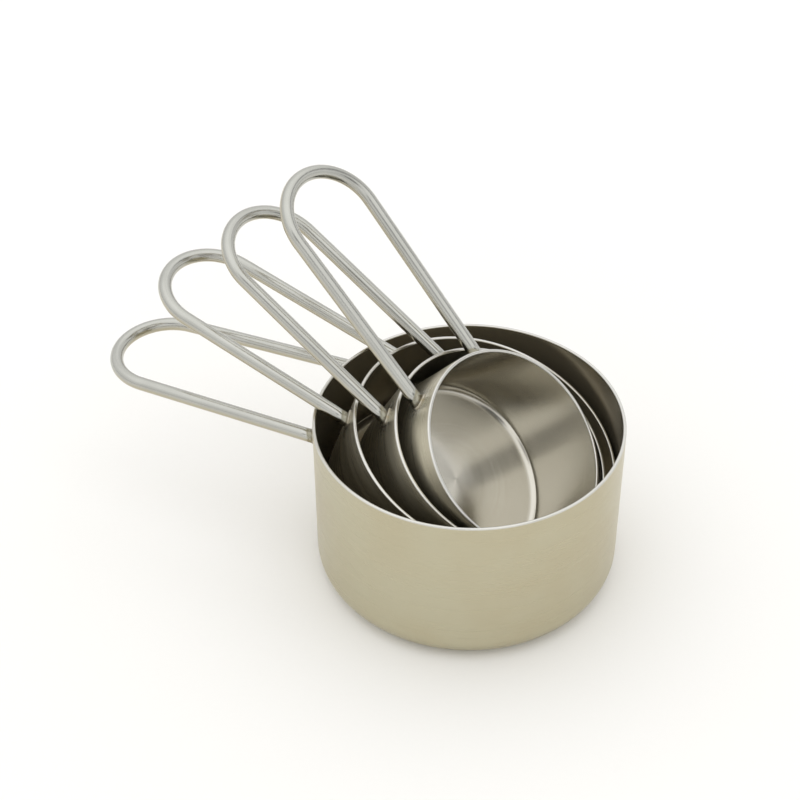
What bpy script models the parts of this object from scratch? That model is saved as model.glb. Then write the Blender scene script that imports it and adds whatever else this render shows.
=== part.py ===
"""Measuring cup set: four nested steel cups with wire loop handles.

Each cup is a drawn bowl, a handle bent from one length of round wire, and two weld
beads that hold the ends of the wire to the outside of the bowl. The cups stand in
each other with their handles fanned out. Each smaller cup leans, with the legs of
its handle over the rim of the cup that holds it.

Metres, +Z up. The origin is the centre of the largest cup's base.
"""
import math
from typing import NamedTuple

import bmesh
import bpy
from mathutils import Matrix, Vector

MM = 0.001

# Bowls
FULL_CAPACITY = 250e-6      # m3, brim-full; the other cups hold a fraction of it
WALL = 0.9 * MM
LIP_ROUNDING = 0.3 * MM
BOWL_SEGMENTS = 60
CORNER_STEPS = 5

# Handles
WIRE_DIAMETER = 3.7 * MM
LOOP_RADIUS = 14.3 * MM     # wire centreline at the end of the loop
DEPTH_BELOW_RIM = 7.0 * MM  # wire centreline where it meets the wall
WIRE_SIDES = 10
LOOP_STEPS = 22
LEG_STEPS = 3
STRAIGHT_START = 4 * MM     # first full ring of the wire, measured from the wall

# Weld beads: (height above the wall, radius) of each ring, from the wall outwards
JOINT_GAP = 0.3 * MM
BEAD_RINGS = (
    (JOINT_GAP, 2.55 * MM),
    (0.55 * MM, 2.45 * MM),
    (0.8 * MM, 2.1 * MM),
)
WIRE_STANDOFF = 0.8 * MM + JOINT_GAP


class Cup(NamedTuple):
    name: str
    capacity: float        # fraction of the full cup
    radius: float          # outside
    corner: float          # radius of the base corner, outside
    rim_centre: tuple      # None: the cup stands upright at the origin
    lean: float            # degrees from upright
    lean_bearing: float    # degrees from +X towards +Y, the way the rim faces
    handle_turn: float     # degrees round the cup's axis, from the leaning +X
    leg_spacing: float     # between the wire's centrelines at the wall
    reach: float           # from the wall to the far end of the loop's centreline
    handle_tilt: float     # degrees up from the rim's plane


CUPS = (
    Cup("cup_full", 1, 41.8 * MM, 6.9 * MM, None, 0, 0,
        155.9, 31.2 * MM, 68.3 * MM, -0.4),
    Cup("cup_half", 1 / 2, 37.0 * MM, 4.5 * MM, (4.8 * MM, -3.1 * MM, 43.6 * MM), 19.4, -28.5,
        149.2, 29.9 * MM, 67.1 * MM, -3.0),
    Cup("cup_third", 1 / 3, 31.1 * MM, 4.0 * MM, (8.6 * MM, -8.0 * MM, 46.0 * MM), 29.0, -32.1,
        142.0, 29.2 * MM, 66.2 * MM, 0.9),
    Cup("cup_quarter", 1 / 4, 27.6 * MM, 3.4 * MM, (11.9 * MM, -11.5 * MM, 48.9 * MM), 41.7, -35.4,
        131.5, 26.1 * MM, 65.9 * MM, -2.0),
)


def clear_scene():
    for obj in list(bpy.data.objects):
        bpy.data.objects.remove(obj, do_unlink=True)


def steel(name, colour, roughness):
    material = bpy.data.materials.new(name)
    material.use_nodes = True
    shader = material.node_tree.nodes["Principled BSDF"]
    shader.inputs["Base Color"].default_value = (*colour, 1.0)
    shader.inputs["Metallic"].default_value = 1.0
    shader.inputs["Roughness"].default_value = roughness
    material.diffuse_color = (*colour, 1.0)
    return material


def add_object(name, bm, parent, material):
    """Turn the bmesh into a smooth-shaded object in its cup's own frame."""
    bmesh.ops.recalc_face_normals(bm, faces=bm.faces)
    mesh = bpy.data.meshes.new(name)
    bm.to_mesh(mesh)
    bm.free()
    mesh.shade_smooth()
    mesh.set_sharp_from_angle(angle=math.radians(35))
    mesh.materials.append(material)
    obj = bpy.data.objects.new(name, mesh)
    bpy.context.scene.collection.objects.link(obj)
    obj.parent = parent
    return obj


# ---------------------------------------------------------------- bowls

def inner_depth(cup):
    """Depth at which a straight bowl with a rounded corner holds the capacity."""
    radius = cup.radius - WALL
    corner = cup.corner - WALL
    square_area = (1 - math.pi / 4) * corner ** 2
    centroid = radius - corner * (10 - 3 * math.pi) / (12 - 3 * math.pi)
    lost = square_area * 2 * math.pi * centroid
    return (cup.capacity * FULL_CAPACITY + lost) / (math.pi * radius ** 2)


def height(cup):
    return inner_depth(cup) + WALL


def corner_arc(radius, corner, floor):
    """Points of a base corner from the wall down to the floor."""
    points = []
    for step in range(CORNER_STEPS + 1):
        angle = math.pi / 2 * step / CORNER_STEPS
        points.append((radius - corner + corner * math.cos(angle),
                       floor + corner - corner * math.sin(angle)))
    return points


def bowl_profile(cup):
    """Section of the bowl: (radius, height) from the underside's centre to the floor's."""
    top = height(cup)
    inner = cup.radius - WALL
    outside = list(reversed(corner_arc(cup.radius, cup.corner, 0)))
    lip = [
        (cup.radius, top - LIP_ROUNDING),
        (cup.radius - LIP_ROUNDING, top),
        (inner + LIP_ROUNDING, top),
        (inner, top - LIP_ROUNDING),
    ]
    inside = corner_arc(inner, cup.corner - WALL, WALL)
    return [(0, 0)] + outside + lip + inside + [(0, WALL)]


def make_bowl(cup, parent, material):
    bm = bmesh.new()
    verts = [bm.verts.new((radius, 0, z)) for radius, z in bowl_profile(cup)]
    edges = [bm.edges.new(pair) for pair in zip(verts, verts[1:])]
    bmesh.ops.spin(bm, geom=verts + edges, cent=(0, 0, 0), axis=(0, 0, 1),
                   angle=2 * math.pi, steps=BOWL_SEGMENTS, use_merge=True)
    bmesh.ops.remove_doubles(bm, verts=bm.verts, dist=0.001 * MM)
    return add_object(cup.name + "_bowl", bm, parent, material)


# ---------------------------------------------------------------- handles

def handle_frame(cup):
    """Point on the wall between the legs, the handle's direction, and its upward normal."""
    half = cup.leg_spacing / 2
    start = Vector((math.sqrt(cup.radius ** 2 - half ** 2), 0, height(cup) - DEPTH_BELOW_RIM))
    tilt = math.radians(cup.handle_tilt)
    along = Vector((math.cos(tilt), 0, math.sin(tilt)))
    up = Vector((-math.sin(tilt), 0, math.cos(tilt)))
    return start, along, up


def leg_convergence(cup):
    """Angle between a leg and the handle's middle line: the legs are tangent to the loop."""
    half = cup.leg_spacing / 2
    loop_centre = cup.reach - LOOP_RADIUS
    return math.acos(LOOP_RADIUS / math.hypot(half, loop_centre)) - math.atan2(loop_centre, half)


def leg_line(cup, side):
    """Where a leg's centreline meets the wall, and its unit direction away from it."""
    start, along, _ = handle_frame(cup)
    across = Vector((0, side, 0))
    angle = leg_convergence(cup)
    foot = start + across * (cup.leg_spacing / 2)
    return foot, along * math.cos(angle) - across * math.sin(angle)


def wire_centreline(cup):
    """(point, direction) pairs from one leg, round the loop, to the other leg."""
    start, along, _ = handle_frame(cup)
    across = Vector((0, 1, 0))
    angle = leg_convergence(cup)
    centre = start + along * (cup.reach - LOOP_RADIUS)
    leg_length = (cup.reach - LOOP_RADIUS) * math.cos(angle) + cup.leg_spacing / 2 * math.sin(angle)
    out_foot, out_way = leg_line(cup, 1)
    back_foot, back_way = leg_line(cup, -1)
    stations = [STRAIGHT_START + (leg_length - STRAIGHT_START) * step / LEG_STEPS
                for step in range(LEG_STEPS)]

    path = [(out_foot + out_way * distance, out_way) for distance in stations]
    sweep = math.pi - 2 * angle
    for step in range(LOOP_STEPS + 1):
        turn = sweep / 2 - sweep * step / LOOP_STEPS
        point = centre + (along * math.cos(turn) + across * math.sin(turn)) * LOOP_RADIUS
        path.append((point, along * math.sin(turn) - across * math.cos(turn)))
    path += [(back_foot + back_way * distance, -back_way) for distance in reversed(stations)]
    return path


def wire_ring(centre, direction, up, radius):
    side = direction.cross(up)
    ring = []
    for step in range(WIRE_SIDES):
        angle = 2 * math.pi * step / WIRE_SIDES
        ring.append(centre + (up * math.cos(angle) + side * math.sin(angle)) * radius)
    return ring


def ring_over_wall(cup, side, standoff, radius):
    """A ring round a leg, each point slid along the leg to stand just off the wall."""
    foot, away = leg_line(cup, side)
    _, _, up = handle_frame(cup)
    target = cup.radius + standoff
    ring = []
    for point in wire_ring(foot, away, up, radius):
        a = away.x ** 2 + away.y ** 2
        b = point.x * away.x + point.y * away.y
        c = point.x ** 2 + point.y ** 2 - target ** 2
        ring.append(point + away * ((-b + math.sqrt(b * b - a * c)) / a))
    return ring


def skin_rings(rings):
    """Close a row of equal rings into one solid, with a fan of faces over each end."""
    bm = bmesh.new()
    rows = [[bm.verts.new(point) for point in ring] for ring in rings]
    count = len(rows[0])
    for row, following in zip(rows, rows[1:]):
        for index in range(count):
            after = (index + 1) % count
            bm.faces.new((row[index], row[after], following[after], following[index]))
    for row in (rows[0], rows[-1]):
        middle = bm.verts.new(sum((vert.co for vert in row), Vector()) / count)
        for index in range(count):
            bm.faces.new((row[index], row[(index + 1) % count], middle))
    return bm


def make_handle(cup, parent, material):
    _, _, up = handle_frame(cup)
    radius = WIRE_DIAMETER / 2
    rings = [wire_ring(point, direction, up, radius) for point, direction in wire_centreline(cup)]
    first = ring_over_wall(cup, 1, WIRE_STANDOFF, radius)
    last = ring_over_wall(cup, -1, WIRE_STANDOFF, radius)
    # The last leg is travelled towards the wall, so its ring runs the other way round.
    last = [last[-index % WIRE_SIDES] for index in range(WIRE_SIDES)]
    return add_object(cup.name + "_handle", skin_rings([first] + rings + [last]), parent, material)


def make_weld(cup, side, label, parent, material):
    rings = [ring_over_wall(cup, side, standoff, radius) for standoff, radius in BEAD_RINGS]
    return add_object(cup.name + "_weld_" + label, skin_rings(rings), parent, material)


# ---------------------------------------------------------------- the nest

def cup_matrix(cup):
    """Frame of a cup: origin at its base's centre, Z up its axis, X towards its handle."""
    lean = math.radians(cup.lean)
    bearing = math.radians(cup.lean_bearing)
    axis = Vector((math.sin(lean) * math.cos(bearing), math.sin(lean) * math.sin(bearing),
                   math.cos(lean)))
    level = Vector((1, 0, 0))
    level = (level - axis * level.dot(axis)).normalized()
    turn = math.radians(cup.handle_turn)
    forward = level * math.cos(turn) + axis.cross(level) * math.sin(turn)
    left = axis.cross(forward)
    rim_centre = Vector(cup.rim_centre) if cup.rim_centre else Vector((0, 0, height(cup)))
    base = rim_centre - axis * height(cup)
    matrix = Matrix((forward, left, axis)).transposed().to_4x4()
    matrix.translation = base
    return matrix


def make_cup(cup):
    frame = bpy.data.objects.new(cup.name + "_frame", None)
    frame.empty_display_size = 0.02
    bpy.context.scene.collection.objects.link(frame)
    frame.matrix_world = cup_matrix(cup)
    make_bowl(cup, frame, steel(cup.name + "_bowl_steel", (0.60, 0.58, 0.51), 0.34))
    make_handle(cup, frame, steel(cup.name + "_wire_steel", (0.66, 0.65, 0.62), 0.28))
    for side, label in ((1, "left"), (-1, "right")):
        make_weld(cup, side, label, frame, steel(cup.name + "_weld_" + label, (0.55, 0.51, 0.44), 0.45))


def main():
    clear_scene()
    for cup in CUPS:
        make_cup(cup)
    bpy.context.view_layer.update()


main()
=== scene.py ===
import math
from typing import NamedTuple

import bmesh
import bpy
from mathutils import Matrix, Vector, noise


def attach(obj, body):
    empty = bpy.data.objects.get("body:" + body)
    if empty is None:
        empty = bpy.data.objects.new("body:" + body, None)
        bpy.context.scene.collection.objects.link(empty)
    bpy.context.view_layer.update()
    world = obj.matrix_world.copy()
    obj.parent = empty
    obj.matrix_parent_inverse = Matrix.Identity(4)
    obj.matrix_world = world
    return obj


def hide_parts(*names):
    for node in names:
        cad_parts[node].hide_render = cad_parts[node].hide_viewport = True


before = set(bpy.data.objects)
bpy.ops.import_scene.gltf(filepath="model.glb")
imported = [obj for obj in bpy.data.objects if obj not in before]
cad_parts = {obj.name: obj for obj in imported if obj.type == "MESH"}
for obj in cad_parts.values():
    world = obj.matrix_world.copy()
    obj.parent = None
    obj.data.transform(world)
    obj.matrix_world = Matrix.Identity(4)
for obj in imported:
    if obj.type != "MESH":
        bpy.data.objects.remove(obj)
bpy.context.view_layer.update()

MM = 0.001
QUARTER = math.pi / 2

# The set, as in the part it is drawn from
FULL_CAPACITY = 250e-6        # m3, brim-full; the other cups hold a fraction of it
WALL = 0.9 * MM
WIRE_RADIUS = 1.85 * MM
LOOP_RADIUS = 14.3 * MM       # wire centreline at the end of the loop
DEPTH_BELOW_RIM = 7.0 * MM    # wire centreline where it meets the wall

# Details finer than the part
LIP_RADIUS = 0.35 * MM
CREASE_RADIUS = 0.2 * MM      # where the floor meets the wall
THINNEST = 0.5 * MM           # metal left outside the crease
FLOOR_PAST_CORNER = 1.2 * MM  # how far the flat floor reaches out over the rounded corner
WIRE_STANDOFF = 0.1 * MM      # between the end of a wire and the wall
LEG_START = 3.5 * MM          # from a leg's foot to its first round section

# A weld seam: (distance off the wall, width beyond the wire) in mm, and what roughens it
BEAD = ((0.02, 0.16), (0.10, 0.20), (0.22, 0.18), (0.32, 0.09), (0.38, -0.02), (0.42, -0.16))
BEAD_LUMPS = 0.9              # change in the seam's width, as a share of it
BEAD_LUMP_SCALE = 3.0         # lumps in one wire radius, roughly
BURR = 0.85 * MM              # height of the spatter at the top of a seam
BURR_SHARPNESS = 18
BURR_LEAN = 0.6               # towards the other leg, against up

# Steps along and round the finished pieces
BOWL_SEGMENTS = 192
BASE_STEPS = 6
CORNER_STEPS = 14
WALL_STEPS = 10
LIP_STEPS = 5
FLOOR_STEPS = 14
WIRE_SIDES = 28
LOOP_STEPS = 72
LEG_STEPS = 26
BEAD_SIDES = 48
EDGE_HOLD = 0.12 * MM         # from a bend to the row of points that keeps the flat side flat
ON_AXIS = 1e-9                # radius below which a point is on the axis

ROUND_MAP = "round"           # UV map: the turn and the distance along, by which lines are laid


class Finish(NamedTuple):
    """Brushed steel, with fine lines that run round the cup and clouds left by handling."""
    colour: tuple
    dull: tuple
    roughness: float
    anisotropy: float
    line_depth: float
    streaks: float = 0.6           # the lines' share of the change in colour, against the clouds
    cloud_size: float = 22 * MM
    film: float = 0.0              # share of the surface that scatters light like a dry coat


# The outsides' yellowish tint, over the steel's own tone, is a painted warm reflection of the floor
# below them
OUTSIDE = Finish((0.555, 0.52, 0.405), (0.52, 0.48, 0.37), 0.30, 0.7, 0.002 * MM,
                 streaks=0.2, cloud_size=30 * MM)
# The full cup's outside: a warmer, darker painted reflection of the floor
OUTSIDE_WARMER_REFLECTION = OUTSIDE._replace(colour=(0.535, 0.50, 0.365), dull=(0.515, 0.465, 0.325))
LIP = Finish((0.68, 0.67, 0.63), (0.62, 0.61, 0.57), 0.28, 0.3, 0.003 * MM)
INSIDE = Finish((0.615, 0.595, 0.53), (0.58, 0.555, 0.49), 0.17, 0.95, 0.003 * MM, film=0.02)
# The full and half cups' insides: a darker, browner, more diffuse copy of the inside steel, painted
# shade where their deep walls see dark hollows
INSIDE_PAINTED_SHADE = INSIDE._replace(colour=(0.385, 0.34, 0.245), dull=(0.345, 0.303, 0.215), film=0.20)

# Brush lines: fine ones over broad ones
LINE_PITCH = 0.12 * MM
LINE_LENGTH = 0.9                  # radians round the cup
BROAD_PITCH = 9 * LINE_PITCH
BROAD_LENGTH = 1.6
FINE_SHARE = 0.65
ACROSS_LINES = 0.25                # turns from the tangent to the way a highlight spreads
NOISE_RANGE = (0.3, 0.7)           # what a noise texture mostly stays between

POLISHED = (0.80, 0.78, 0.70)      # the wall round a weld
POLISHED_SHARE = 0.75              # of this colour at most
POLISHED_SMOOTHER = 0.07           # less rough than the wall by this at most
POLISHED_NEAR = 3.5 * MM           # from the weld: fully polished up to here,
POLISHED_FAR = 7.5 * MM            # and not at all from here
POLISHED_UNEVEN = 3.0 * MM

WIRE_LIGHT = (0.495, 0.495, 0.458)
WIRE_DULL = (0.445, 0.445, 0.41)
WIRE_PAINTED_REFLECTION = (0.47, 0.42, 0.30)      # painted warm reflection of the floor on the underside of a wire
WELD_STRAW = (0.50, 0.47, 0.40)
WELD_BROWN = (0.40, 0.34, 0.23)

PAPER = (0.92, 0.91, 0.885)
PAPER_LIGHT = (0.935, 0.925, 0.90)
PAPER_HALF_SIZE = 8.0              # m


class Cup(NamedTuple):
    """One cup: lengths in metres, angles in degrees."""
    name: str
    capacity: float        # fraction of the full cup
    radius: float          # outside
    corner: float          # radius of the base corner, outside
    rim_centre: tuple      # None: the cup stands upright at the origin
    lean: float            # from upright
    lean_bearing: float    # from +X towards +Y, the way the rim faces
    handle_turn: float     # round the cup's axis, from the leaning +X
    leg_spacing: float     # between the wire's centrelines at the wall
    reach: float           # from the wall to the far end of the loop's centreline
    handle_tilt: float     # up from the rim's plane
    outside: Finish
    inside: Finish

    @property
    def height(self):
        """Outside height: a straight bowl with a rounded corner that holds the capacity."""
        radius = self.radius - WALL
        corner = self.corner - WALL
        square_area = (1 - math.pi / 4) * corner ** 2
        centroid = radius - corner * (10 - 3 * math.pi) / (12 - 3 * math.pi)
        lost = square_area * 2 * math.pi * centroid
        return (self.capacity * FULL_CAPACITY + lost) / (math.pi * radius ** 2) + WALL

    @property
    def matrix(self):
        """Frame of the cup: origin at its base's centre, Z up its axis, X towards its handle."""
        lean = math.radians(self.lean)
        bearing = math.radians(self.lean_bearing)
        axis = Vector((math.sin(lean) * math.cos(bearing), math.sin(lean) * math.sin(bearing),
                       math.cos(lean)))
        level = Vector((1, 0, 0))
        level = (level - axis * level.dot(axis)).normalized()
        turn = math.radians(self.handle_turn)
        forward = level * math.cos(turn) + axis.cross(level) * math.sin(turn)
        left = axis.cross(forward)
        rim_centre = Vector(self.rim_centre or (0, 0, self.height))
        matrix = Matrix((forward, left, axis)).transposed().to_4x4()
        matrix.translation = rim_centre - axis * self.height
        return matrix

    @property
    def along(self):
        """Way the handle points, in the cup's own frame like the rest below."""
        tilt = math.radians(self.handle_tilt)
        return Vector((math.cos(tilt), 0, math.sin(tilt)))

    @property
    def up(self):
        """Way the handle's plane faces."""
        tilt = math.radians(self.handle_tilt)
        return Vector((-math.sin(tilt), 0, math.cos(tilt)))

    @property
    def start(self):
        """Point on the wall between the legs."""
        half = self.leg_spacing / 2
        return Vector((math.sqrt(self.radius ** 2 - half ** 2), 0, self.height - DEPTH_BELOW_RIM))

    @property
    def convergence(self):
        """Angle between a leg and the handle's middle line: the legs are tangent to the loop."""
        half = self.leg_spacing / 2
        loop_centre = self.reach - LOOP_RADIUS
        tangent = math.acos(LOOP_RADIUS / math.hypot(half, loop_centre))
        return tangent - math.atan2(loop_centre, half)

    def leg(self, side):
        """Where a leg's centreline meets the wall, and its unit direction away from it."""
        across = Vector((0, side, 0))
        angle = self.convergence
        foot = self.start + across * (self.leg_spacing / 2)
        return foot, self.along * math.cos(angle) - across * math.sin(angle)


CUPS = (
    Cup("cup_full", 1, 41.8 * MM, 6.9 * MM, None, 0, 0,
        155.9, 31.2 * MM, 68.3 * MM, -0.4, OUTSIDE_WARMER_REFLECTION, INSIDE_PAINTED_SHADE),
    Cup("cup_half", 1 / 2, 37.0 * MM, 4.5 * MM, (4.8 * MM, -3.1 * MM, 43.6 * MM), 19.4, -28.5,
        149.2, 29.9 * MM, 67.1 * MM, -3.0, OUTSIDE, INSIDE_PAINTED_SHADE),
    Cup("cup_third", 1 / 3, 31.1 * MM, 4.0 * MM, (8.6 * MM, -8.0 * MM, 46.0 * MM), 29.0, -32.1,
        142.0, 29.2 * MM, 66.2 * MM, 0.9, OUTSIDE, INSIDE),
    Cup("cup_quarter", 1 / 4, 27.6 * MM, 3.4 * MM, (11.9 * MM, -11.5 * MM, 48.9 * MM), 41.7, -35.4,
        131.5, 26.1 * MM, 65.9 * MM, -2.0, OUTSIDE, INSIDE),
)


class Card(NamedTuple):
    """An oval of the light tent that is brighter or darker than the rest. Angles in degrees."""
    bearing: float
    elevation: float
    half_width: float
    half_height: float
    softness: float        # of its edge, as a share of its size
    change: float          # in brightness


# The light tent: brightness at each height above the horizon in degrees, and what breaks it
TENT = ((0, 0.85), (16, 0.95), (32, 1.05), (55, 1.30), (90, 1.40))
CARDS = (
    Card(-101, 46, 14, 9, 0.4, -0.85),
    Card(-80, 27, 22, 9, 0.6, 0.25),
    Card(12, 37, 18, 4.5, 0.4, -0.95),
    Card(-46, 30, 17, 7, 0.4, -0.95),
)
DARKEST = 0.02                     # the least brightness where cards overlap

CAMERA_PLACE = (-0.01837, -0.35731, 0.35833)
CAMERA_DOWN = 40.25                # degrees below the horizon
CAMERA_ROLL = -0.445               # degrees
LENS = 79.85                       # mm, like the sensor
SENSOR = 36.0
NEAREST, FARTHEST = 0.01, 20.0     # m, the range the camera sees


# ---------------------------------------------------------------- node helpers

class Nodes:
    """Short ways to add and link shader nodes to a material or a world."""

    def __init__(self, owner):
        owner.use_nodes = True
        self.tree = owner.node_tree
        self.shader = self.tree.nodes.get("Principled BSDF") or self.tree.nodes["Background"]

    def add(self, kind, inputs=None, **settings):
        node = self.tree.nodes.new("ShaderNode" + kind)
        for key, value in settings.items():
            setattr(node, key, value)
        for key, value in (inputs or {}).items():
            self.set(node.inputs[key], value)
        return node

    def set(self, socket, value):
        if isinstance(value, bpy.types.NodeSocket):
            self.tree.links.new(value, socket)
        else:
            socket.default_value = value

    def set_shader(self, **values):
        """Set the shader's own sockets: base_color is its Base Color, and so on."""
        for key, value in values.items():
            self.set(self.shader.inputs[key.replace("_", " ").title()], value)

    def math(self, operation, *values):
        node = self.add("Math", operation=operation)
        for socket, value in zip(node.inputs, values):
            self.set(socket, value)
        return node.outputs[0]

    def blend(self, one, other, share):
        """Sum of two values, of which `share` is the first's."""
        return self.math("ADD", self.math("MULTIPLY", one, share),
                         self.math("MULTIPLY", other, 1 - share))

    def dot(self, one, other):
        return self.add("VectorMath", {0: one, 1: other}, operation="DOT_PRODUCT").outputs["Value"]

    def distance(self, one, other):
        return self.add("VectorMath", {0: one, 1: other}, operation="DISTANCE").outputs["Value"]

    def between(self, value, low, high, to_low=0.0, to_high=1.0):
        node = self.add("MapRange", {"Value": value, "From Min": low, "From Max": high,
                                     "To Min": to_low, "To Max": to_high},
                        interpolation_type="SMOOTHSTEP")
        return node.outputs["Result"]

    def mix(self, factor, one, other):
        """Colour between two, each a node's output or three numbers."""
        node = self.add("Mix", data_type="RGBA")
        for index, value in ((0, factor), (6, one), (7, other)):
            self.set(node.inputs[index], (*value, 1.0) if isinstance(value, tuple) else value)
        return node.outputs[2]

    def vector(self, x, y, z):
        return self.add("CombineXYZ", {"X": x, "Y": y, "Z": z}).outputs[0]

    def split(self, vector):
        return self.add("SeparateXYZ", {"Vector": vector}).outputs

    def noise(self, vector, scale, detail):
        """Noise with `scale` cells in a unit of the vector, in metres for a position."""
        node = self.add("TexNoise", {"Vector": vector, "Scale": scale, "Detail": detail,
                                     "Roughness": 0.55})
        return node.outputs["Fac"]

    def tube_noise(self, turn, along, spin, detail):
        """Noise on a tube: `spin` is its radius and `along` the distance along it, in cells."""
        x = self.math("MULTIPLY", self.math("COSINE", turn), spin)
        y = self.math("MULTIPLY", self.math("SINE", turn), spin)
        return self.noise(self.vector(x, y, along), scale=1.0, detail=detail)

    def bump(self, height, strength, distance):
        node = self.add("Bump", {"Strength": strength, "Distance": distance, "Height": height})
        return node.outputs[0]

    def position(self):
        return self.add("TexCoord").outputs["Object"]

    def round_map(self):
        return self.split(self.add("UVMap", uv_map=ROUND_MAP).outputs[0])


# ---------------------------------------------------------------- steel

def new_material(name):
    material = bpy.data.materials.new(name)
    return material, Nodes(material)


def brushed_steel(name, finish, welds=()):
    """A cup's steel, polished brighter round the points where its handle is welded on."""
    material, nodes = new_material(name)
    turn, along, _ = nodes.round_map()
    turn = nodes.math("MULTIPLY", turn, 2 * math.pi)
    position = nodes.position()

    fine = nodes.tube_noise(turn, nodes.math("DIVIDE", along, LINE_PITCH), spin=1 / LINE_LENGTH,
                            detail=4.0)
    broad = nodes.tube_noise(turn, nodes.math("DIVIDE", along, BROAD_PITCH), spin=1 / BROAD_LENGTH,
                             detail=2.0)
    lines = nodes.blend(fine, broad, FINE_SHARE)
    clouds = nodes.noise(position, scale=1 / finish.cloud_size, detail=3.0)

    shade = nodes.between(nodes.blend(lines, clouds, finish.streaks), 0.35, 0.68)
    tone = nodes.mix(shade, finish.dull, finish.colour)
    rough = nodes.between(lines, *NOISE_RANGE, finish.roughness * 0.85, finish.roughness * 1.15)
    if welds:
        polish = polish_round(nodes, position, welds)
        tone = nodes.mix(nodes.math("MULTIPLY", polish, POLISHED_SHARE), tone, POLISHED)
        rough = nodes.math("SUBTRACT", rough, nodes.math("MULTIPLY", polish, POLISHED_SMOOTHER))
    tangent = nodes.add("Tangent", direction_type="UV_MAP", uv_map=ROUND_MAP).outputs[0]
    nodes.set_shader(metallic=1.0 - finish.film, base_color=tone, roughness=rough,
                     tangent=tangent, anisotropic=finish.anisotropy,
                     anisotropic_rotation=ACROSS_LINES,
                     normal=nodes.bump(lines, 0.35, finish.line_depth))
    return material


def polish_round(nodes, position, welds):
    """How polished the wall is: it was ground in a soft, uneven patch round each weld."""
    polish = None
    for weld in welds:
        uneven = nodes.noise(position, scale=420.0, detail=2.0)
        uneven = nodes.math("MULTIPLY", uneven, POLISHED_UNEVEN)
        away = nodes.math("ADD", nodes.distance(position, weld), uneven)
        near = nodes.between(away, POLISHED_NEAR, POLISHED_FAR, 1.0, 0.0)
        polish = near if polish is None else nodes.math("MAXIMUM", polish, near)
    return polish


def wire_steel(name):
    """Polished wire: satin, with a few hairlines along its length and a painted tan reflection of
    the floor on its underside.
    """
    material, nodes = new_material(name)
    length, turn, _ = nodes.round_map()
    lines = nodes.tube_noise(nodes.math("MULTIPLY", turn, 2 * math.pi),
                             nodes.math("MULTIPLY", length, 12.0), spin=3.5, detail=2.0)
    coordinates = nodes.add("TexCoord").outputs
    clouds = nodes.noise(coordinates["Object"], scale=90.0, detail=2.0)
    shade = nodes.between(nodes.blend(lines, clouds, 0.5), 0.35, 0.65)
    facing_up = nodes.split(coordinates["Normal"])[2]
    # Painted reflection: the side facing down is tinted tan, standing in for the warm floor it sees
    reflection_below = nodes.between(facing_up, 0.45, -0.30, 0.0, 0.9)
    steel = nodes.mix(shade, WIRE_DULL, WIRE_LIGHT)
    nodes.set_shader(metallic=1.0, base_color=nodes.mix(reflection_below, steel, WIRE_PAINTED_REFLECTION),
                     roughness=nodes.between(lines, *NOISE_RANGE, 0.19, 0.24),
                     normal=nodes.bump(lines, 0.25, 0.006 * MM))
    return material


def weld_steel(name):
    """Weld bead: rougher, rippled and tinted by the heat."""
    material, nodes = new_material(name)
    position = nodes.position()
    ripples = nodes.noise(position, scale=1400.0, detail=3.0)
    tint = nodes.between(nodes.noise(position, scale=500.0, detail=2.0), 0.4, 0.65)
    nodes.set_shader(metallic=1.0, base_color=nodes.mix(tint, WELD_STRAW, WELD_BROWN),
                     roughness=nodes.between(ripples, *NOISE_RANGE, 0.28, 0.5),
                     normal=nodes.bump(ripples, 0.6, 0.08 * MM))
    return material


# ---------------------------------------------------------------- bowls

def arc(centre, radius, start, end, steps):
    for step in range(steps + 1):
        angle = start + (end - start) * step / steps
        yield (centre[0] + radius * math.cos(angle), centre[1] + radius * math.sin(angle))


def straight(start, end, steps):
    """Points between two ends, with one close to each so that the shading stays straight."""
    length = math.dist(start, end)
    shares = [step / steps for step in range(1, steps)]
    for share in [EDGE_HOLD / length] + shares + [1 - EDGE_HOLD / length]:
        yield (start[0] + (end[0] - start[0]) * share, start[1] + (end[1] - start[1]) * share)


def bowl_section(cup):
    """(points, their regions): the section from under the base, over the lip, to the floor.

    Inside, the floor curves up towards its edge and meets the wall in a crease.
    """
    inner = cup.radius - WALL
    top = cup.height
    lip = top - LIP_RADIUS
    base = cup.radius - cup.corner
    crease = cup.corner - math.sqrt((cup.corner - THINNEST) ** 2 - (cup.corner - WALL) ** 2)
    rise = crease - WALL
    width = cup.corner - FLOOR_PAST_CORNER
    sweep = (width ** 2 + rise ** 2) / (2 * rise)
    bend = math.asin(width / sweep)
    trim = CREASE_RADIUS * (1 - math.sin(bend)) / math.cos(bend)
    runs = [
        ("outside", [(0, 0)]),
        ("outside", straight((0, 0), (base, 0), BASE_STEPS)),
        ("outside", arc((base, cup.corner), cup.corner, -QUARTER, 0, CORNER_STEPS)),
        ("outside", straight((cup.radius, cup.corner), (cup.radius, lip), WALL_STEPS)),
        ("lip", arc((cup.radius - LIP_RADIUS, lip), LIP_RADIUS, 0, QUARTER, LIP_STEPS)),
        ("lip", arc((inner + LIP_RADIUS, lip), LIP_RADIUS, QUARTER, 2 * QUARTER, LIP_STEPS)),
        ("inside", straight((inner, lip), (inner, crease + trim), WALL_STEPS)),
        ("inside", arc((inner - CREASE_RADIUS, crease + trim), CREASE_RADIUS, 0, bend - QUARTER,
                       LIP_STEPS)),
        ("inside", arc((inner - width, WALL + sweep), sweep, bend - trim / sweep - QUARTER,
                       -QUARTER, CORNER_STEPS)),
        ("inside", straight((inner - width, WALL), (0, WALL), FLOOR_STEPS)),
        ("inside", [(0, WALL)]),
    ]
    points, regions = [], []
    for region, run in runs:
        for point in run:
            points.append(point)
            regions.append(region)
    return points, regions


def distances(points):
    """Distance along a line of points, at each of them."""
    along = [0.0]
    for before, after in zip(points, points[1:]):
        along.append(along[-1] + math.dist(before, after))
    return along


def finished_mesh(name, bm):
    mesh = bpy.data.meshes.new(name)
    bm.to_mesh(mesh)
    bm.free()
    return mesh


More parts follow.
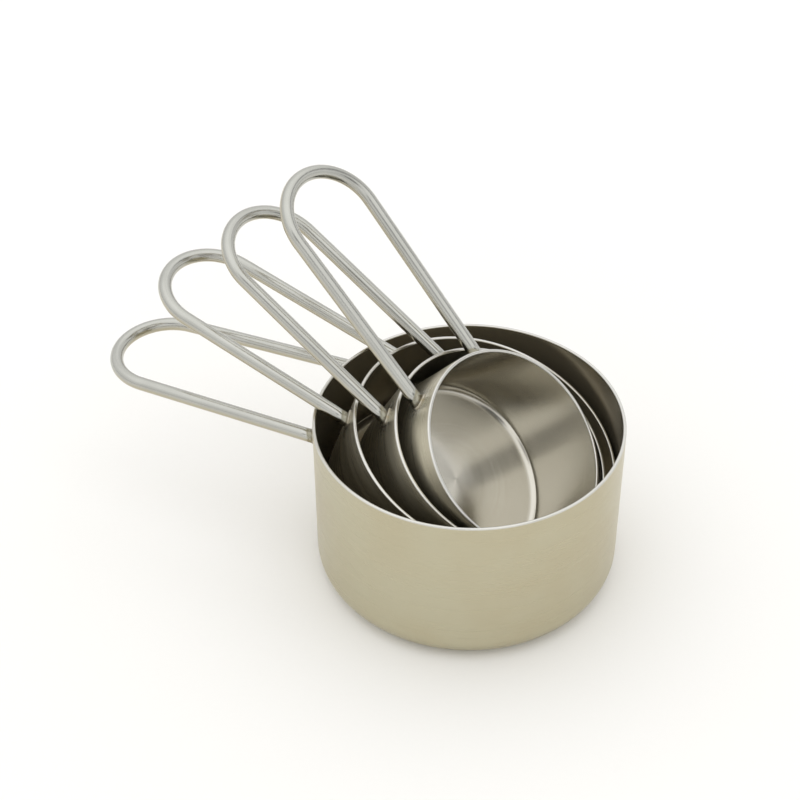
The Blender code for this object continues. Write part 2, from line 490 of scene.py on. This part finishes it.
def lathe(name, points, regions, slots):
    """Turn a section into a closed mesh. UV: share of a turn, distance along the section."""
    bm = bmesh.new()
    layer = bm.loops.layers.uv.new(ROUND_MAP)
    rings = []
    for radius, z in points:
        count = 1 if radius < ON_AXIS else BOWL_SEGMENTS
        turns = [2 * math.pi * index / BOWL_SEGMENTS for index in range(count)]
        rings.append([bm.verts.new((radius * math.cos(turn), radius * math.sin(turn), z))
                      for turn in turns])
    along = distances(points)

    for row in range(len(points) - 1):
        # A step that joins the lip to a wall belongs to the wall
        region = regions[row] if regions[row] != "lip" else regions[row + 1]
        for index in range(BOWL_SEGMENTS):
            corners = []
            for ring_row, step in ((row, 0), (row, 1), (row + 1, 1), (row + 1, 0)):
                ring = rings[ring_row]
                vert = ring[(index + step) % len(ring)]
                if corners and corners[-1][0] is vert:
                    continue
                corners.append((vert, ((index + step) / BOWL_SEGMENTS, along[ring_row])))
            if corners[0][0] is corners[-1][0]:
                corners.pop()
            face = bm.faces.new([vert for vert, _ in corners])
            face.smooth = True
            face.material_index = slots.index(region)
            for loop, (_, uv) in zip(face.loops, corners):
                loop[layer].uv = uv
    return finished_mesh(name, bm)


def place(name, mesh, cup, node):
    """Put a piece in its cup's frame, in the stead of a node of the part."""
    piece = bpy.data.objects.new(name, mesh)
    bpy.context.scene.collection.objects.link(piece)
    piece.matrix_world = cup.matrix
    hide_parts(node)
    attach(piece, cup.name.removeprefix("cup_") + "_cup")


def make_bowl(cup):
    welds = [cup.leg(side)[0] for side in (1, -1)]
    steel = {
        "outside": brushed_steel(cup.name + "_outside", cup.outside, welds),
        "lip": brushed_steel(cup.name + "_lip", LIP),
        "inside": brushed_steel(cup.name + "_inside", cup.inside),
    }
    mesh = lathe(cup.name + "_steel_bowl", *bowl_section(cup), list(steel))
    for material in steel.values():
        mesh.materials.append(material)
    place(cup.name + "_steel_bowl", mesh, cup, cup.name + "_bowl")


# ---------------------------------------------------------------- handles and welds

def wire_path(cup):
    """(point, direction) pairs from one leg, round the loop, to the other."""
    along = cup.along
    across = Vector((0, 1, 0))
    angle = cup.convergence
    centre = cup.start + along * (cup.reach - LOOP_RADIUS)
    length = (cup.reach - LOOP_RADIUS) * math.cos(angle) + cup.leg_spacing / 2 * math.sin(angle)
    out_foot, out_way = cup.leg(1)
    back_foot, back_way = cup.leg(-1)
    stations = [LEG_START + (length - LEG_START) * step / LEG_STEPS for step in range(LEG_STEPS)]

    path = [(out_foot + out_way * station, out_way) for station in stations]
    sweep = math.pi - 2 * angle
    for step in range(LOOP_STEPS + 1):
        turn = sweep / 2 - sweep * step / LOOP_STEPS
        path.append((centre + (along * math.cos(turn) + across * math.sin(turn)) * LOOP_RADIUS,
                     along * math.sin(turn) - across * math.cos(turn)))
    path += [(back_foot + back_way * station, -back_way) for station in reversed(stations)]
    return path


def ring(centre, direction, up, radius, sides=WIRE_SIDES):
    side = direction.cross(up)
    turns = [2 * math.pi * step / sides for step in range(sides)]
    return [centre + (up * math.cos(turn) + side * math.sin(turn)) * radius for turn in turns]


def to_wall(cup, points, way, standoff):
    """Slide points along a leg's direction until they stand this far off the wall."""
    target = cup.radius + standoff
    moved = []
    for point in points:
        a = way.x ** 2 + way.y ** 2
        b = point.x * way.x + point.y * way.y
        c = point.x ** 2 + point.y ** 2 - target ** 2
        moved.append(point + way * ((-b + math.sqrt(b * b - a * c)) / a))
    return moved


def skin(name, rings, along):
    """A closed tube over rings of equal count. UV: distance along, share of a turn."""
    bm = bmesh.new()
    layer = bm.loops.layers.uv.new(ROUND_MAP)
    rows = [[bm.verts.new(point) for point in points] for points in rings]
    count = len(rows[0])
    for row in range(len(rows) - 1):
        for index in range(count):
            corners = ((row, index), (row, index + 1), (row + 1, index + 1), (row + 1, index))
            face = bm.faces.new([rows[r][i % count] for r, i in corners])
            face.smooth = True
            for loop, (r, i) in zip(face.loops, corners):
                loop[layer].uv = (along[r], i / count)
    for row, flip in ((0, True), (len(rows) - 1, False)):
        middle = bm.verts.new(sum((vert.co for vert in rows[row]), Vector()) / count)
        for index in range(count):
            pair = (rows[row][index], rows[row][(index + 1) % count])
            face = bm.faces.new((pair[1], pair[0], middle) if flip else (pair[0], pair[1], middle))
            for loop in face.loops:
                loop[layer].uv = (along[row], 0)
    bmesh.ops.recalc_face_normals(bm, faces=bm.faces)
    return finished_mesh(name, bm)


def make_handle(cup):
    path = wire_path(cup)
    rings = [ring(point, direction, cup.up, WIRE_RADIUS) for point, direction in path]
    out_foot, out_way = cup.leg(1)
    back_foot, back_way = cup.leg(-1)
    first = to_wall(cup, ring(out_foot, out_way, cup.up, WIRE_RADIUS), out_way, WIRE_STANDOFF)
    last = to_wall(cup, ring(back_foot, -back_way, cup.up, WIRE_RADIUS), back_way, WIRE_STANDOFF)
    middle_line = [out_foot] + [point for point, _ in path] + [back_foot]
    mesh = skin(cup.name + "_wire_handle", [first] + rings + [last], distances(middle_line))
    mesh.materials.append(wire_steel(cup.name + "_wire"))
    place(cup.name + "_wire_handle", mesh, cup, cup.name + "_handle")


def make_weld(cup, side, label):
    """An uneven seam round the end of a wire, with a burr at its top."""
    foot, way = cup.leg(side)
    inward = Vector((0, -side, 0))
    burr_way = (inward * BURR_LEAN + cup.up).normalized()
    # The noise is read at places far apart, so that no two seams match
    own_lumps = Vector((side * 3.0, cup.radius * 900, 0))
    rings = []
    for off, width in BEAD:
        points = []
        for point in ring(foot, way, cup.up, radius=1.0, sides=BEAD_SIDES):
            spoke = point - foot  # of unit length
            lump = 1.0 + BEAD_LUMPS * noise.noise(spoke * BEAD_LUMP_SCALE + own_lumps)
            burr = max(0.0, spoke.dot(burr_way)) ** BURR_SHARPNESS
            points.append(foot + spoke * (WIRE_RADIUS + width * MM * lump + BURR * burr))
        rings.append(to_wall(cup, points, way, off * MM))
    name = cup.name + "_bead_" + label
    mesh = skin(name, rings, [off for off, _ in BEAD])
    mesh.materials.append(weld_steel(name))
    place(name, mesh, cup, cup.name + "_weld_" + label)


# ---------------------------------------------------------------- stage, light and camera

def make_stage():
    bm = bmesh.new()
    bmesh.ops.create_grid(bm, x_segments=2, y_segments=2, size=PAPER_HALF_SIZE)
    mesh = finished_mesh("floor", bm)
    floor = bpy.data.objects.new("floor", mesh)
    bpy.context.scene.collection.objects.link(floor)
    paper, nodes = new_material("floor_paper")
    fibres = nodes.noise(nodes.position(), scale=900.0, detail=2.0)
    nodes.set_shader(base_color=nodes.mix(fibres, PAPER, PAPER_LIGHT), roughness=0.9)
    mesh.materials.append(paper)


def direction(bearing, elevation):
    bearing, elevation = math.radians(bearing), math.radians(elevation)
    return Vector((math.cos(elevation) * math.cos(bearing), math.cos(elevation) * math.sin(bearing),
                   math.sin(elevation)))


def card_light(nodes, towards, card):
    """What a card adds to the tent's brightness, seen in the direction `towards`."""
    facing = direction(card.bearing, card.elevation)
    right = direction(card.bearing + 90, 0)
    over = right.cross(facing)
    half_width = math.sin(math.radians(card.half_width))
    half_height = math.sin(math.radians(card.half_height))
    across = nodes.math("DIVIDE", nodes.dot(towards, right), half_width)
    down = nodes.math("DIVIDE", nodes.dot(towards, over), half_height)
    away = nodes.math("SQRT", nodes.math("ADD", nodes.math("MULTIPLY", across, across),
                                         nodes.math("MULTIPLY", down, down)))
    inside = nodes.between(away, 1 - card.softness, 1 + card.softness, 1.0, 0.0)
    front = nodes.math("GREATER_THAN", nodes.dot(towards, facing), 0.0)
    return nodes.math("MULTIPLY", nodes.math("MULTIPLY", inside, front), card.change)


def make_world():
    world = bpy.data.worlds.new("light_tent")
    nodes = Nodes(world)
    towards = nodes.add("TexCoord").outputs["Generated"]
    height = nodes.split(towards)[2]
    light = TENT[0][1]
    for (low, before), (high, after) in zip(TENT, TENT[1:]):
        step = nodes.between(height, math.sin(math.radians(low)), math.sin(math.radians(high)),
                             0.0, after - before)
        light = nodes.math("ADD", light, step)
    for card in CARDS:
        light = nodes.math("ADD", light, card_light(nodes, towards, card))
    nodes.set_shader(color=(1, 1, 1, 1), strength=nodes.math("MAXIMUM", light, DARKEST))
    bpy.context.scene.world = world


def make_camera():
    data = bpy.data.cameras.new("camera")
    data.sensor_width = SENSOR
    data.lens = LENS
    data.clip_start = NEAREST
    data.clip_end = FARTHEST
    camera = bpy.data.objects.new("camera", data)
    bpy.context.scene.collection.objects.link(camera)
    camera.matrix_world = (Matrix.Translation(CAMERA_PLACE)
                           @ Matrix.Rotation(math.radians(90 - CAMERA_DOWN), 4, "X")
                           @ Matrix.Rotation(math.radians(CAMERA_ROLL), 4, "Z"))
    bpy.context.scene.camera = camera
    bpy.context.scene.view_settings.view_transform = "Standard"


def main():
    make_camera()
    make_stage()
    make_world()
    for cup in CUPS:
        make_bowl(cup)
        make_handle(cup)
        for side, label in ((1, "left"), (-1, "right")):
            make_weld(cup, side, label)


main()
bpy.context.view_layer.update()
